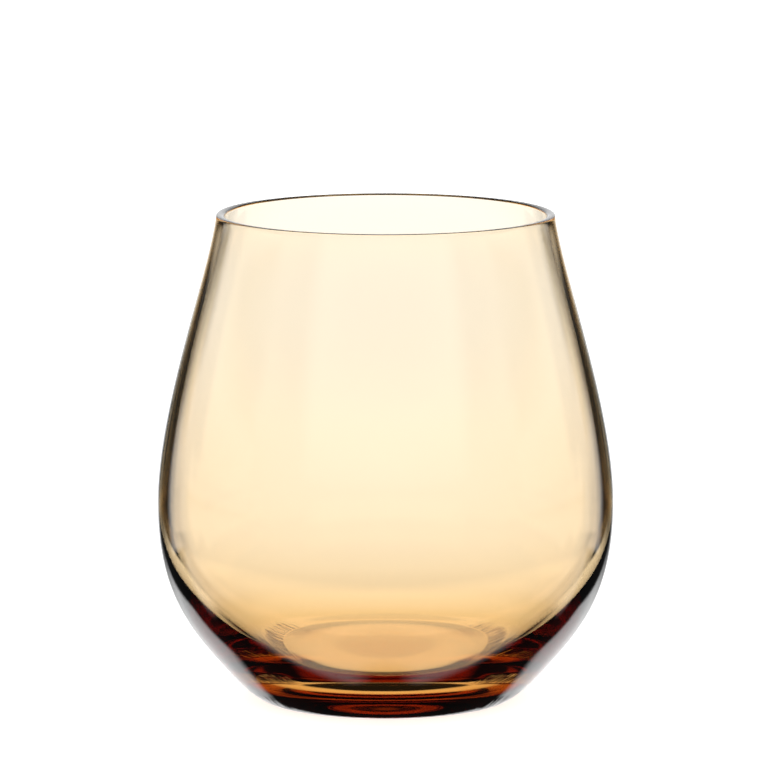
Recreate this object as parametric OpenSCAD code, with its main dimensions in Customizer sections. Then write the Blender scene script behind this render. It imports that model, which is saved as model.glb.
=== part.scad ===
// Stemless wine glass: one piece of amber glass, turned about its own axis
// Lengths are in millimetres and angles in degrees
// +Z is up, and the origin is the middle of the foot, on the table

/* [Outside of the bowl] */
// Height from the table to the top of the lip
glass_h = 105.2; // [92:0.1:120]
// Radius at the belly, the widest place
belly_r = 49; // [45:0.1:56]
// Height of the belly above the table
belly_z = 42.8; // [38:0.1:48]
// Radius of the mouth, at the outer face just under the lip
mouth_r = 36.3; // [31:0.1:42]
// Inward lean of the wall at the mouth, from the vertical
mouth_lean = 7.6; // [4:0.1:12]
// How far the belly's upright stretch reaches upward, of the height from belly to lip
belly_rise_share = 0.324; // [0.25:0.01:0.4]
// How far the straight wall under the mouth reaches down, of the height from belly to lip
mouth_drop_share = 0.212; // [0.15:0.01:0.3]
// How far the belly's upright stretch reaches down, of the height from flank to belly
belly_fall_share = 0.528; // [0.4:0.01:0.6]
// How far the straight flank reaches up, of the height from flank to belly
flank_rise_share = 0.361; // [0.25:0.01:0.45]

/* [Foot] */
// Outer radius of the flat ring that touches the table
ring_outer_r = 24.8; // [23.5:0.1:27]
// Inner radius of the flat ring that touches the table
ring_inner_r = 22.5; // [18:0.1:23]
// Radius where the rounded edge of the foot ends and the flank begins
flank_r = 33.5; // [32:0.1:35]
// Height of that place above the table
flank_z = 6.1; // [5:0.1:7]
// Slope of the flank there, from the horizontal
flank_slope = 48; // [45:0.5:55]
// Depth of the hollow in the underside
punt_depth = 0.4; // [0.2:0.1:3]

/* [Inside of the bowl] */
// Thickness of the wall at the mouth
mouth_wall = 1.9; // [1.2:0.05:2.6]
// Height of the lip's rounding over the straight wall
lip_h = 0.5; // [0.3:0.05:0.9]
// Thickness of the wall at the belly
belly_wall = 2.55; // [1.4:0.05:3]
// Height of the inner belly above the outer one, or below it where it is negative
inner_belly_rise = 0.6; // [-2:0.1:2]
// How far the inner belly's upright stretch reaches upward, of the height from inner belly to lip
inner_rise_share = 0.36; // [0.25:0.01:0.45]
// How far the straight inner wall under the mouth reaches down, of the same height
inner_drop_share = 0.15; // [0.05:0.01:0.3]
// Height of the middle of the bowl's floor above the table
floor_z = 8.2; // [6:0.1:10]
// Thickness of the glass at the heel, where the bowl's floor turns up, square to the flank
heel_wall = 5.3; // [4.2:0.1:6.4]
// How far up the flank the heel stands, from the end of the foot's rounded edge
heel_rise = 6.3; // [5:0.1:7.6]
// Slope of the inner face at the heel, from the horizontal
heel_slope = 42.8; // [38:0.1:48]
// How far the flat middle of the floor reaches, of the heel's radius
floor_flat_share = 0.53; // [0.3:0.01:0.6]
// How far the heel's slope reaches inward, of the heel's radius
heel_inner_share = 0.42; // [0.25:0.01:0.46]
// How far the heel's slope reaches outward, of the height from heel to inner belly
heel_outer_share = 0.42; // [0.3:0.01:0.46]
// How far the inner belly's upright stretch reaches down, of the same height
inner_fall_share = 0.45; // [0.38:0.01:0.56]

/* [Hidden] */

// Sides of the turned shape, and steps of each curve of its outline
turn_sides = 180;
curve_steps = 22;
edge_steps = 8;
lip_steps = 10;

// The lip is half of an ellipse, as wide as the mouth's wall and square to it
lip_half = mouth_wall / 2;
lip_out = [cos(mouth_lean), sin(mouth_lean)];
lip_up = [-sin(mouth_lean), cos(mouth_lean)];
lip_peak = norm([lip_half * lip_out[1], lip_h * lip_up[1]]);
lip_centre = [mouth_r - lip_half * lip_out[0], glass_h - lip_peak];

// Places where the curves of the outer outline meet
outer_mouth = lip_centre + lip_half * lip_out;
outer_belly = [belly_r, belly_z];
outer_flank = [flank_r, flank_z];
flank_way = [cos(flank_slope), sin(flank_slope)];
flank_in = [-sin(flank_slope), cos(flank_slope)];
foot_corner = [flank_r - flank_z / tan(flank_slope), 0];
upper_rise = outer_mouth[1] - belly_z;
lower_rise = belly_z - flank_z;

// Places where the curves of the inner outline meet
inner_mouth = lip_centre - lip_half * lip_out;
inner_belly = [belly_r - belly_wall, belly_z + inner_belly_rise];
inner_heel = outer_flank + heel_rise * flank_way + heel_wall * flank_in;
inner_floor = [0, floor_z];
heel_way = [cos(heel_slope), sin(heel_slope)];
inner_upper_rise = inner_mouth[1] - inner_belly[1];
inner_lower_rise = inner_belly[1] - inner_heel[1];

up = [0, 1];
out = [1, 0];

// Points of a cubic curve from a to b, drawn toward the handles a_pull and b_pull, without a itself
function cubic(a, a_pull, b_pull, b, steps) =
    [for (k = [1 : steps])
        let (t = k / steps, s = 1 - t)
        s * s * s * a + 3 * s * s * t * a_pull + 3 * s * t * t * b_pull + t * t * t * b];

// Points of the foot's rounded edge, from the ring up to the flank
function foot_edge() =
    [for (k = [0 : edge_steps])
        let (t = k / edge_steps, s = 1 - t)
        s * s * [ring_outer_r, 0] + 2 * s * t * foot_corner + t * t * outer_flank];

// Points of the hollow underside, from the axis out to the ring
function punt_curve() =
    [for (k = [0 : edge_steps])
        let (share = k / edge_steps)
        [share * ring_inner_r, punt_depth * (1 - share * share)]];

// Points of the lip's rounding, from the outer face over to the inner one
function lip_round() =
    [for (k = [1 : lip_steps - 1])
        let (turn = 180 * k / lip_steps)
        lip_centre + lip_half * cos(turn) * lip_out + lip_h * sin(turn) * lip_up];

// The outer face from the flank to the mouth
function outer_wall() = concat(
    cubic(outer_flank, outer_flank + flank_rise_share * lower_rise * flank_way,
          outer_belly - belly_fall_share * lower_rise * up, outer_belly, curve_steps),
    cubic(outer_belly, outer_belly + belly_rise_share * upper_rise * up,
          outer_mouth - mouth_drop_share * upper_rise * lip_up, outer_mouth, curve_steps));

// The inner face from the mouth down to the middle of the floor
function inner_wall() = concat(
    [inner_mouth],
    cubic(inner_mouth, inner_mouth - inner_drop_share * inner_upper_rise * lip_up,
          inner_belly + inner_rise_share * inner_upper_rise * up, inner_belly, curve_steps),
    cubic(inner_belly, inner_belly - inner_fall_share * inner_lower_rise * up,
          inner_heel + heel_outer_share * inner_lower_rise * heel_way, inner_heel, curve_steps),
    cubic(inner_heel, inner_heel - heel_inner_share * inner_heel[0] * heel_way,
          inner_floor + floor_flat_share * inner_heel[0] * out, inner_floor, curve_steps));

module glass_body() {
    color([0.96, 0.74, 0.36, 0.45])
        rotate_extrude($fn = turn_sides)
            polygon(concat(punt_curve(), foot_edge(), outer_wall(), lip_round(), inner_wall()));
}

glass_body();
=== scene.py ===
"""Looks of a stemless wine glass: one turned piece of amber glass on a pale studio floor."""

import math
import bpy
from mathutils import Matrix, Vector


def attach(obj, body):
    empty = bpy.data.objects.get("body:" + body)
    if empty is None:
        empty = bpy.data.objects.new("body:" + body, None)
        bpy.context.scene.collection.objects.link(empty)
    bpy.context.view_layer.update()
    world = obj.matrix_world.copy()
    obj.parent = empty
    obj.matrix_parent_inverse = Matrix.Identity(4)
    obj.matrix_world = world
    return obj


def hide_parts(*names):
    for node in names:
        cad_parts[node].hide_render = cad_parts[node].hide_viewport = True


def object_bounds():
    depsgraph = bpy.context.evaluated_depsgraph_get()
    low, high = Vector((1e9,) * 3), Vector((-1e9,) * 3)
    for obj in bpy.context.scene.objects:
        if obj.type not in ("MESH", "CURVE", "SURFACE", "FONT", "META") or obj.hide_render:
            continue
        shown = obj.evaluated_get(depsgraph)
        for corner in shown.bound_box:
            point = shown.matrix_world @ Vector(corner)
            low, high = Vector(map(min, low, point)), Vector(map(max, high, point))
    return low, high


bl_info = {
    "name": "Stemless Wine Glass",
    "version": (1, 0, 0),
    "blender": (4, 5, 0),
    "location": "View3D > Sidebar > Wine Glass",
    "description": "Turns a stemless wine glass of amber glass and sets a plain studio round it",
    "category": "Add Mesh",
}

import bpy
from mathutils import Matrix, Vector

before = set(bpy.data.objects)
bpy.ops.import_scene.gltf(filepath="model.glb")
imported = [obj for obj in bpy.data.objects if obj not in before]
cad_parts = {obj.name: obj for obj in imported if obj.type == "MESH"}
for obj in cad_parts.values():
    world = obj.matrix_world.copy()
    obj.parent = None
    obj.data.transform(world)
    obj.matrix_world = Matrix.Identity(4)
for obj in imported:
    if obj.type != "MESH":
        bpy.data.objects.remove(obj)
CAD_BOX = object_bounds()

MM = 0.001
DEGREE = math.pi / 180

# Film of the camera in millimetres, and how far it sees, in floor radii
FILM_WIDTH = 36
SIGHT = 4
# Steps of the floor's rim and of the walls
FLOOR_STEPS = 96
WALL_STEPS, WALL_RINGS = 64, 32
# Place and size of one soft lamp in metres; the other stands as its mirror image
LAMP_X, LAMP_Y, LAMP_Z = 0.9, -0.35, 1.5
LAMP_WIDTH, LAMP_DEPTH = 1.0, 0.7
# Most bounces of a ray in all, which are also the most through glass
# Most of them off a surface, which are also the most through the tinted shadow
BOUNCES, SURFACE_BOUNCES = 32, 16


def length(name, description, default):
    """A size in metres that a user may change."""
    return bpy.props.FloatProperty(name=name, description=description, default=default, min=0,
                                   precision=5, unit="LENGTH", subtype="DISTANCE")


def share(name, description, default):
    """A share, from 0 to 1."""
    return bpy.props.FloatProperty(name=name, description=description, default=default,
                                   min=0, max=1, subtype="FACTOR")


def angle(name, description, degrees):
    """An angle, given here in degrees and kept in radians."""
    return bpy.props.FloatProperty(name=name, description=description, default=degrees * DEGREE,
                                   unit="ROTATION", subtype="ANGLE")


def level(name, description, default):
    """A brightness, in which 1 is white."""
    return bpy.props.FloatProperty(name=name, description=description, default=default,
                                   min=0, soft_max=2)


def window(name, description, default):
    """Four numbers in degrees: round from the backdrop, from and to, then of rise, from and to."""
    return bpy.props.FloatVectorProperty(name=name, description=description, default=default,
                                         size=4)


def colour(name, description, default):
    """A colour, in linear values."""
    return bpy.props.FloatVectorProperty(name=name, description=description, default=default,
                                         min=0, max=1, size=3, subtype="COLOR")


class GlassShape(bpy.types.PropertyGroup):
    """Sizes of the turned outline."""

    glass_h: length("Height", "Height of the lip above the table", CAD_BOX[1].z)
    belly_r: length("Belly radius", "Radius of the widest place", CAD_BOX[1].x)
    belly_z: length("Belly height", "Height of the widest place", 0.0428)
    mouth_r: length("Mouth radius", "Radius of the outer face just under the lip", 0.0363)
    mouth_lean: angle("Mouth lean", "Inward lean of the wall at the mouth", 7.6)
    belly_rise_share: share("Belly rise", "Reach of the belly's upright stretch upward", 0.324)
    mouth_drop_share: share("Mouth drop", "Reach of the straight wall under the mouth", 0.212)
    belly_fall_share: share("Belly fall", "Reach of the belly's upright stretch downward", 0.528)
    flank_rise_share: share("Flank rise", "Reach of the straight flank upward", 0.361)
    ring_outer_r: length("Ring radius", "Outer radius of the flat ring on the table", 0.0248)
    ring_inner_r: length("Ring inner radius", "Inner radius of the flat ring", 0.0225)
    flank_r: length("Flank radius", "Radius where the foot's edge ends", 0.0335)
    flank_z: length("Flank height", "Height where the foot's edge ends", 0.0061)
    flank_slope: angle("Flank slope", "Slope of the flank there", 48)
    punt_depth: length("Punt depth", "Depth of the hollow in the underside", 0.0004)
    mouth_wall: length("Wall at the mouth", "Thickness of the wall at the mouth", 0.0019)
    lip_h: length("Lip height", "Height of the lip's rounding", 0.0005)
    belly_wall: length("Wall at the belly", "Thickness of the wall at the belly", 0.00255)
    inner_belly_rise: bpy.props.FloatProperty(
        name="Inner belly rise", description="Inner belly's height above the outer one",
        default=0.0006, precision=5, unit="LENGTH", subtype="DISTANCE")
    inner_rise_share: share("Inner belly rise share", "Reach of the inner belly upward", 0.36)
    inner_drop_share: share("Inner mouth drop", "Reach of the inner wall under the mouth", 0.15)
    floor_z: length("Floor height", "Height of the middle of the bowl's floor", 0.0082)
    heel_wall: length("Heel wall", "Thickness at the heel, square to the flank", 0.0053)
    heel_rise: length("Heel rise", "Way up the flank at which the heel stands", 0.0063)
    heel_slope: angle("Heel slope", "Slope of the inner face at the heel", 42.8)
    floor_flat_share: share("Floor flat", "Reach of the flat middle of the floor", 0.53)
    heel_inner_share: share("Heel inward", "Reach of the heel's slope inward", 0.42)
    heel_outer_share: share("Heel outward", "Reach of the heel's slope outward", 0.42)
    inner_fall_share: share("Inner belly fall", "Reach of the inner belly downward", 0.45)
    turn_steps: bpy.props.IntProperty(name="Turn steps", description="Steps of the spin",
                                      default=256, min=32, max=512)
    curve_steps: bpy.props.IntProperty(name="Curve steps", description="Steps of a long curve",
                                       default=40, min=8, max=96)


class GlassFinish(bpy.types.PropertyGroup):
    """Tint and polish of the glass."""

    tint_depth: length("Tint depth", "Depth at which blue falls to 37 per cent", 0.00741)
    tint: colour("Tint", "For each colour, 1 less its absorption as a share of blue's",
                 (0.844, 0.556, 0.0))
    ior: bpy.props.FloatProperty(name="Index of refraction", description="Of the glass",
                                 default=1.490, min=1, max=2)
    ripple: length("Ripple", "Height of the faint ripples of the polished faces", 0.00001)
    wear: share("Foot wear", "Roughness of the ring that slides on the table", 0.22)
    crinkle: length("Crinkle", "Height of the crinkles on the foot's edge", 0.0004)
    crinkle_pitch: length("Crinkle pitch", "Distance between these crinkles", 0.0011)


class StudioSet(bpy.types.PropertyGroup):
    """Camera, floor, lamps and the white walls that the glass shows."""

    camera_place: bpy.props.FloatVectorProperty(
        name="Camera place", description="Where the camera stands", size=3,
        default=(0.00095, -1.79, 0.3283), unit="LENGTH", subtype="TRANSLATION")
    camera_pitch: angle("Camera pitch", "How far the camera looks down", 8.308)
    camera_lens: bpy.props.FloatProperty(name="Lens", description="Focal length in millimetres",
                                         default=388.86, min=10)
    floor_r: length("Floor radius", "Radius of the pale floor", 12)
    floor_colour: colour("Floor colour", "Colour of the pale floor", (0.8, 0.8, 0.8))
    floor_glow: level("Floor glow", "White that the camera sees under the shadow", 0.8)
    room_level: level("Room light", "Even light of the room on the object", 0.44)
    lamp_power: bpy.props.FloatProperty(name="Lamp power", description="Power of a soft lamp",
                                        default=9, min=0, unit="POWER")
    tent_r: length("Wall distance", "Distance of the walls from the glass", 3.5)

    # The patches of white come from a numeric search against the photograph
    # They were then rounded and partly changed, and a level over 1 is brighter than white
    back_level: level("Backdrop", "Brightness of the backdrop", 1.22)
    back_window: window("Backdrop window", "Where it stands", (-20.0, 14.4, -39.8, 32.0))
    back_edges: window("Backdrop edges", "Softness of its edges", (1.0, 5.0, 1.7, 4.0))
    table_level: level("Table", "Brightness of the table behind the glass", 1.40)
    table_window: window("Table window", "Where it shows", (-20.0, 37.6, -37.6, -14.4))
    table_edges: window("Table edges", "Softness of its edges", (1.0, 3.0, 3.2, 5.0))
    table_slant: bpy.props.FloatProperty(
        name="Table slant", description="Degrees that its edge goes outward for each degree down",
        default=1.4, min=0)
    table_corner: angle("Table corner", "Where its slanted edge would meet the level of the eye",
                        3.2)
    table_blur: angle("Table blur", "Softness of the slanted edge", 2.5)
    strip_level: level("Strips", "Brightness of the strips beside the backdrop", 1.19)
    strip_window: window("Strip window", "Where they stand", (39.4, 61.8, -14.1, 1.0))
    strip_edges: window("Strip edges", "Softness of their edges", (4.2, 4.0, 0.8, 2.4))
    side_level: level("Sides", "Brightness of the low walls at the sides", 1.01)
    side_window: window("Side window", "Where they stand", (54.0, 200.0, -30.8, -4.0))
    side_edges: window("Side edges", "Softness of their edges", (4.0, 1.0, 4.4, 5.2))
    under_level: level("Near table", "Brightness of the table in front and beside", 1.20)
    under_window: window("Near table window", "Where it shows", (70.5, 200.0, -82.0, -46.7))
    under_edges: window("Near table edges", "Softness of its edges", (6.5, 1.0, 5.0, 4.8))
    front_level: level("Front", "Brightness of the wall behind the camera", 0.94)
    front_window: window("Front window", "Where it stands", (104.3, 200.0, -31.4, 16.3))
    front_edges: window("Front edges", "Softness of its edges", (6.1, 1.0, 5.7, 5.8))
    high_level: level("Softbox", "Brightness of the softbox behind the camera", 1.38)
    high_window: window("Softbox window", "Where it stands", (131.8, 200.0, 3.8, 22.5))
    high_edges: window("Softbox edges", "Softness of its edges", (10.0, 1.0, 6.2, 5.7))
    top_level: level("Ceiling", "Brightness of the ceiling in front", 0.28)
    top_window: window("Ceiling window", "Where it hangs", (100.1, 200.0, 13.7, 47.9))
    top_edges: window("Ceiling edges", "Softness of its edges", (10.0, 1.0, 6.0, 10.1))
    glim_level: level("Glimmer", "Brightness of the backdrop's upper sides", 0.89)
    glim_window: window("Glimmer window", "Where they stand", (5.3, 31.1, 2.1, 27.3))
    glim_edges: window("Glimmer edges", "Softness of their edges", (2.7, 3.4, 3.0, 8.0))
    wing_level: level("Wings", "Brightness of the upright walls at the sides", 1.10)
    wing_window: window("Wing window", "Where they stand", (51.0, 111.0, -5.0, 10.5))
    wing_edges: window("Wing edges", "Softness of their edges", (3.0, 5.8, 3.0, 2.5))
    # What is left is mostly the dark room; low down, behind and under the glass, it is a painted
    # shadow of the glass on the table
    rest_level: level("Rest", "Brightness of what is left", 0.02)


def cubic(a, a_pull, b_pull, b, steps):
    """Points of a cubic curve from a to b, without a itself."""
    points = []
    for k in range(1, steps + 1):
        t = k / steps
        s = 1 - t
        points.append(s ** 3 * a + 3 * s * s * t * a_pull + 3 * s * t * t * b_pull + t ** 3 * b)
    return points


def glass_outline(shape):
    """The outline from the middle of the underside, round the lip, to the middle of the floor."""
    way = lambda turn: Vector((math.cos(turn), math.sin(turn)))
    up, out = Vector((0, 1)), Vector((1, 0))
    steps = shape.curve_steps
    lip_half = shape.mouth_wall / 2
    lip_out = way(shape.mouth_lean)
    lip_up = Vector((-lip_out.y, lip_out.x))
    lip_peak = math.hypot(lip_half * lip_out.y, shape.lip_h * lip_up.y)
    lip_centre = Vector((shape.mouth_r - lip_half * lip_out.x, shape.glass_h - lip_peak))

    flank = Vector((shape.flank_r, shape.flank_z))
    flank_way = way(shape.flank_slope)
    flank_in = Vector((-flank_way.y, flank_way.x))
    foot_corner = Vector((shape.flank_r - shape.flank_z / math.tan(shape.flank_slope), 0))
    belly = Vector((shape.belly_r, shape.belly_z))
    mouth = lip_centre + lip_half * lip_out
    lower, upper = belly.y - flank.y, mouth.y - belly.y

    inner_mouth = lip_centre - lip_half * lip_out
    inner_belly = belly + Vector((-shape.belly_wall, shape.inner_belly_rise))
    heel = flank + shape.heel_rise * flank_way + shape.heel_wall * flank_in
    inner_lower, inner_upper = inner_belly.y - heel.y, inner_mouth.y - inner_belly.y
    heel_way = way(shape.heel_slope)

    floor = Vector((0, shape.floor_z))

    punt_steps, edge_steps, lip_steps = steps // 2, steps // 2, 16
    punt = [Vector((shape.ring_inner_r * k / punt_steps,
                    shape.punt_depth * (1 - (k / punt_steps) ** 2)))
            for k in range(punt_steps + 1)]
    ring = Vector((shape.ring_outer_r, 0))
    foot = []
    for k in range(edge_steps + 1):
        t = k / edge_steps
        foot.append((1 - t) ** 2 * ring + 2 * (1 - t) * t * foot_corner + t * t * flank)
    outer = cubic(flank, flank + shape.flank_rise_share * lower * flank_way,
                  belly - shape.belly_fall_share * lower * up, belly, steps)
    outer += cubic(belly, belly + shape.belly_rise_share * upper * up,
                   mouth - shape.mouth_drop_share * upper * lip_up, mouth, steps)
    lip = []
    for k in range(1, lip_steps):
        turn = math.pi * k / lip_steps
        lip.append(lip_centre + lip_half * math.cos(turn) * lip_out
                   + shape.lip_h * math.sin(turn) * lip_up)
    inner = [inner_mouth]
    inner += cubic(inner_mouth, inner_mouth - shape.inner_drop_share * inner_upper * lip_up,
                   inner_belly + shape.inner_rise_share * inner_upper * up, inner_belly, steps)
    inner += cubic(inner_belly, inner_belly - shape.inner_fall_share * inner_lower * up,
                   heel + shape.heel_outer_share * inner_lower * heel_way, heel, steps)
    inner += cubic(heel, heel - shape.heel_inner_share * heel.x * heel_way,
                   floor + shape.floor_flat_share * heel.x * out, floor, steps)
    return punt + foot + outer + lip + inner


def turn_outline(points, steps, name):
    """Draws an outline point by point from one corner, and spins it about the upright axis."""
    bpy.ops.object.select_all(action="DESELECT")
    bpy.ops.mesh.primitive_plane_add(size=MM)
    piece = bpy.context.object
    piece.name = piece.data.name = name
    bpy.ops.object.mode_set(mode="EDIT")
    bpy.ops.mesh.select_all(action="SELECT")
    bpy.ops.mesh.merge(type="CENTER")
    bpy.ops.transform.translate(value=(points[0].x, 0, points[0].y))
    place = points[0]
    for point in points[1:]:
        move = (point.x - place.x, 0, point.y - place.y)
        bpy.ops.mesh.extrude_region_move(TRANSFORM_OT_translate={"value": move})
        place = point
    bpy.ops.mesh.select_all(action="SELECT")
    bpy.ops.mesh.spin(steps=steps, angle=2 * math.pi, center=(0, 0, 0), axis=(0, 0, 1))
    bpy.ops.mesh.select_all(action="SELECT")
    bpy.ops.mesh.remove_doubles(threshold=MM / 1000)
    bpy.ops.mesh.normals_make_consistent(inside=False)
    bpy.ops.mesh.select_all(action="DESELECT")
    bpy.ops.object.mode_set(mode="OBJECT")
    bpy.ops.object.shade_smooth()
    if piece.matrix_world != Matrix.Identity(4):
        raise RuntimeError(name + " isn't at the origin")
    return piece


class Nodes:
    """Short words for building a node tree."""

    def __init__(self, tree):
        self.tree = tree
        tree.nodes.clear()

    def node(self, kind, values=None, **settings):
        """A node with its settings, and its sockets given values or linked to other sockets."""
        made = self.tree.nodes.new(kind)
        for key, value in settings.items():
            setattr(made, key, value)
        for key, value in (values or {}).items():
            if isinstance(value, bpy.types.NodeSocket):
                self.tree.links.new(value, made.inputs[key])
            else:
                made.inputs[key].default_value = value
        return made

    def math(self, operation, *values):
        """The result of a Math node."""
        return self.node("ShaderNodeMath", dict(enumerate(values)), operation=operation).outputs[0]

    def ramp(self, value, middle, half, low=0.0, high=1.0):
        """A smooth step from low to high, round middle."""
        made = self.node("ShaderNodeMapRange",
                         {"Value": value, "From Min": middle - half, "From Max": middle + half,
                          "To Min": low, "To Max": high}, interpolation_type="SMOOTHSTEP")
        return made.outputs["Result"]


def glass_material(finish):
    """Clear amber glass, tinted all through, fire-polished, with a worn ring under the foot."""
    material = bpy.data.materials.new("amber_glass")
    material.use_nodes = True
    n = Nodes(material.node_tree)
    place = n.node("ShaderNodeTexCoord").outputs["Object"]
    x, y, z = n.node("ShaderNodeSeparateXYZ", {0: place}).outputs
    radius = n.math("SQRT", n.math("ADD", n.math("MULTIPLY", x, x), n.math("MULTIPLY", y, y)))
    radius = n.math("MAXIMUM", radius, MM)

    ripple_scale, ripple_detail = 45.0, 1.0
    ripple = n.node("ShaderNodeTexNoise", {"Vector": place, "Scale": ripple_scale,
                                           "Detail": ripple_detail})
    wavy = n.node("ShaderNodeBump", {"Height": ripple.outputs[0], "Distance": finish.ripple})

    # Crinkles stand upright on the foot's outer edge, at its two sides along X
    # They have their pitch at the radius pitch_r, and change upward at a share of that rate
    pitch, pitch_r, upright_share = finish.crinkle_pitch, 0.03, 0.12
    fold_scale, fold_detail = 1.0, 2.0
    inner_r, inner_fade = 0.0252, 0.0004
    top_z, top_fade = 0.0030, 0.0010
    side_share, side_fade = 0.76, 0.08
    round_way = n.node("ShaderNodeCombineXYZ", {
        0: n.math("MULTIPLY", n.math("DIVIDE", x, radius), pitch_r / pitch),
        1: n.math("MULTIPLY", n.math("DIVIDE", y, radius), pitch_r / pitch),
        2: n.math("MULTIPLY", z, upright_share / pitch)})
    folds = n.node("ShaderNodeTexNoise", {"Vector": round_way.outputs[0], "Scale": fold_scale,
                                          "Detail": fold_detail})
    at_edge = n.math("MULTIPLY", n.ramp(radius, inner_r, inner_fade),
                     n.ramp(z, top_z, top_fade, 1.0, 0.0))
    at_sides = n.ramp(n.math("DIVIDE", n.math("ABSOLUTE", x), radius), side_share, side_fade)
    height = n.math("MULTIPLY", folds.outputs[0], n.math("MULTIPLY", at_edge, at_sides))
    bump = n.node("ShaderNodeBump", {"Height": height, "Distance": finish.crinkle,
                                     "Normal": wavy.outputs[0]})

    scratch_scale, scratch_detail = 2600.0, 3.0
    worn_z, worn_fade = 0.0002, 0.00015
    scratches = n.node("ShaderNodeTexNoise", {"Vector": place, "Scale": scratch_scale,
                                              "Detail": scratch_detail})
    at_foot = n.ramp(z, worn_z, worn_fade, 1.0, 0.0)
    wear = n.math("MULTIPLY", n.math("MULTIPLY", scratches.outputs[0], at_foot), finish.wear)

    glass = n.node("ShaderNodeBsdfPrincipled", {
        "Base Color": (1, 1, 1, 1), "Roughness": wear, "Transmission Weight": 1.0,
        "Normal": bump.outputs[0]})
    glass.inputs["IOR"].default_value = finish.ior
    shadow_tint = (0.97, 0.9, 0.76, 1)
    lets_through = n.node("ShaderNodeBsdfTransparent", {"Color": shadow_tint})
    light = n.node("ShaderNodeLightPath")
    surface = n.node("ShaderNodeMixShader", {
        0: light.outputs["Is Shadow Ray"], 1: glass.outputs[0], 2: lets_through.outputs[0]})
    body = n.node("ShaderNodeVolumeAbsorption")
    body.inputs["Color"].default_value = (*finish.tint, 1)
    body.inputs["Density"].default_value = 1 / finish.tint_depth
    n.node("ShaderNodeOutputMaterial", {"Surface": surface.outputs[0], "Volume": body.outputs[0]})
    return material


def floor_material(studio):
    """A pale floor that takes the shadow of the glass, and that the camera sees as white."""
    material = bpy.data.materials.new("pale_floor")
    material.use_nodes = True
    n = Nodes(material.node_tree)
    place = n.node("ShaderNodeTexCoord").outputs["Object"]
    far = n.node("ShaderNodeVectorMath", {0: place}, operation="LENGTH").outputs["Value"]
    glow_middle, glow_half = 0.45, 0.35
    glow = n.ramp(far, glow_middle, glow_half, studio.floor_glow, 1.0)
    seen = n.math("MULTIPLY", glow, n.node("ShaderNodeLightPath").outputs["Is Camera Ray"])
    lit = n.node("ShaderNodeBsdfDiffuse", {"Color": (*studio.floor_colour, 1)})
    white = n.node("ShaderNodeEmission", {"Strength": seen})
    both = n.node("ShaderNodeAddShader", {0: lit.outputs[0], 1: white.outputs[0]})
    n.node("ShaderNodeOutputMaterial", {"Surface": both.outputs[0]})
    return material


def white_patch(n, around, rise, brightness, reach, edges):
    """A soft-edged patch of white on the walls."""
    near, far, low, high = [degrees * DEGREE for degrees in reach]
    near_soft, far_soft, low_soft, high_soft = [degrees * DEGREE for degrees in edges]
    shown = n.ramp(rise, low, low_soft)
    shown = n.math("MULTIPLY", shown, n.ramp(rise, high, high_soft, 1.0, 0.0))
    shown = n.math("MULTIPLY", shown, n.ramp(around, near, near_soft))
    shown = n.math("MULTIPLY", shown, n.ramp(around, far, far_soft, 1.0, 0.0))
    return n.math("MULTIPLY", shown, brightness)


def tent_material(studio):
    """White walls with dark gaps between them, as the glass shows them; the dark under the glass
    is a painted shadow of it on the table.
    """
    material = bpy.data.materials.new("white_walls")
    material.use_nodes = True
    material.cycles.emission_sampling = "NONE"
    n = Nodes(material.node_tree)
    place = n.node("ShaderNodeTexCoord").outputs["Object"]
    way = n.node("ShaderNodeVectorMath", {0: place}, operation="NORMALIZE").outputs["Vector"]
    x, y, z = n.node("ShaderNodeSeparateXYZ", {0: way}).outputs
    around = n.math("ABSOLUTE", n.math("ARCTAN2", x, y))
    rise = n.math("ARCSINE", z)
    strength = studio.rest_level
    for name in ("back", "table", "strip", "side", "under", "front", "high", "top", "glim",
                 "wing"):
        patch = white_patch(n, around, rise, getattr(studio, name + "_level"),
                            getattr(studio, name + "_window"), getattr(studio, name + "_edges"))
        if name == "table":
            slanted = n.math("ADD", around, n.math("MULTIPLY", rise, studio.table_slant))
            patch = n.math("MULTIPLY", patch, n.ramp(slanted, studio.table_corner,
                                                     studio.table_blur, 1.0, 0.0))
        strength = n.math("MAXIMUM", strength, patch)
    glow = n.node("ShaderNodeEmission", {"Strength": strength})
    n.node("ShaderNodeOutputMaterial", {"Surface": glow.outputs[0]})
    return material


class WINEGLASS_OT_glass_body(bpy.types.Operator):
    """Turn the bowl, lip, thick base and foot ring as one piece of amber glass"""

    bl_idname = "wineglass.glass_body"
    bl_label = "Glass"

    def execute(self, context):
        shape, finish = context.scene.glass_shape, context.scene.glass_finish
        piece = turn_outline(glass_outline(shape), shape.turn_steps, "wine_glass")
        piece.data.materials.append(glass_material(finish))
        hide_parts("glass_body")
        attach(piece, "root")
        return {"FINISHED"}


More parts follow.
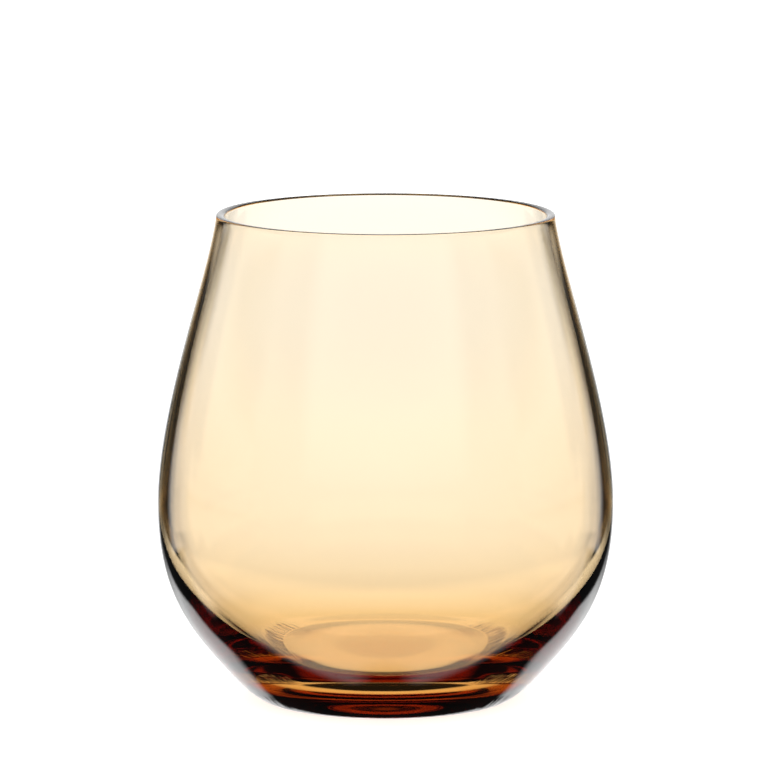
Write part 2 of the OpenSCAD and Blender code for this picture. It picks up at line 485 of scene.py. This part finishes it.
class WINEGLASS_OT_studio(bpy.types.Operator):
    """Set the camera, the pale floor, the soft lamps and the white walls"""

    bl_idname = "wineglass.studio"
    bl_label = "Studio"

    def execute(self, context):
        scene = context.scene
        studio = scene.glass_studio
        bpy.ops.object.select_all(action="DESELECT")
        bpy.ops.object.camera_add(location=studio.camera_place,
                                  rotation=(math.pi / 2 - studio.camera_pitch, 0, 0))
        camera = context.object
        camera.data.lens = studio.camera_lens
        camera.data.sensor_width = FILM_WIDTH
        camera.data.clip_end = SIGHT * studio.floor_r
        scene.camera = camera

        bpy.ops.mesh.primitive_circle_add(vertices=FLOOR_STEPS, radius=studio.floor_r,
                                          fill_type="NGON")
        floor = context.object
        floor.name = "floor"
        floor.data.materials.append(floor_material(studio))
        # The glass shows the walls in place of the floor and the lamps, so the shadow under the
        # glass that it shows is a painted shadow on the walls
        floor.visible_glossy = floor.visible_transmission = False

        middle = (CAD_BOX[0] + CAD_BOX[1]) / 2
        bpy.ops.mesh.primitive_uv_sphere_add(segments=WALL_STEPS, ring_count=WALL_RINGS,
                                             radius=studio.tent_r)
        tent = context.object
        tent.name = "white_walls"
        tent.data.materials.append(tent_material(studio))
        tent.visible_camera = tent.visible_diffuse = tent.visible_shadow = False
        tent.visible_volume_scatter = False
        # The walls are a child of the camera, so in other views their light turns with it
        context.view_layer.update()
        tent.parent = camera
        tent.matrix_parent_inverse = camera.matrix_world.inverted()
        tent.matrix_basis = Matrix.Translation(middle)

        for side in (-1, 1):
            place = Vector((side * LAMP_X, LAMP_Y, LAMP_Z))
            turn = (middle - place).to_track_quat("-Z", "Y").to_euler()
            bpy.ops.object.light_add(type="AREA", location=place, rotation=turn)
            lamp = context.object
            lamp.name = "soft_lamp"
            lamp.data.shape = "RECTANGLE"
            lamp.data.size, lamp.data.size_y = LAMP_WIDTH, LAMP_DEPTH
            lamp.data.energy = studio.lamp_power
            lamp.visible_glossy = lamp.visible_transmission = False

        world = bpy.data.worlds.new("studio_world")
        scene.world = world
        world.use_nodes = True
        n = Nodes(world.node_tree)
        seen = n.node("ShaderNodeLightPath").outputs["Is Camera Ray"]
        strength = n.math("ADD", n.math("MULTIPLY", seen, 1 - studio.room_level),
                          studio.room_level)
        room = n.node("ShaderNodeBackground", {"Color": (1, 1, 1, 1), "Strength": strength})
        n.node("ShaderNodeOutputWorld", {"Surface": room.outputs[0]})

        scene.view_settings.view_transform = "Standard"
        scene.cycles.max_bounces = scene.cycles.transmission_bounces = BOUNCES
        scene.cycles.glossy_bounces = scene.cycles.transparent_max_bounces = SURFACE_BOUNCES
        return {"FINISHED"}


class WINEGLASS_PT_panel(bpy.types.Panel):
    """Sizes, finish and studio of the wine glass"""

    bl_idname = "WINEGLASS_PT_panel"
    bl_label = "Stemless wine glass"
    bl_space_type = "VIEW_3D"
    bl_region_type = "UI"
    bl_category = "Wine Glass"

    def draw(self, context):
        scene = context.scene
        for group, operator in ((scene.glass_shape, None), (scene.glass_finish, "glass_body"),
                                (scene.glass_studio, "studio")):
            column = self.layout.column()
            for name in group.bl_rna.properties.keys():
                if name not in ("rna_type", "name"):
                    column.prop(group, name)
            if operator:
                column.operator("wineglass." + operator)


CLASSES = (GlassShape, GlassFinish, StudioSet, WINEGLASS_OT_glass_body, WINEGLASS_OT_studio,
           WINEGLASS_PT_panel)


def register():
    """Registers the classes and hangs the settings on the scene."""
    for cls in CLASSES:
        bpy.utils.register_class(cls)
    bpy.types.Scene.glass_shape = bpy.props.PointerProperty(type=GlassShape)
    bpy.types.Scene.glass_finish = bpy.props.PointerProperty(type=GlassFinish)
    bpy.types.Scene.glass_studio = bpy.props.PointerProperty(type=StudioSet)


def unregister():
    """Takes the settings and the classes away again."""
    del bpy.types.Scene.glass_shape, bpy.types.Scene.glass_finish, bpy.types.Scene.glass_studio
    for cls in reversed(CLASSES):
        bpy.utils.unregister_class(cls)


def main():
    """Builds the studio and the glass."""
    register()
    bpy.ops.wineglass.studio()
    bpy.ops.wineglass.glass_body()


if __name__ == "__main__":
    main()
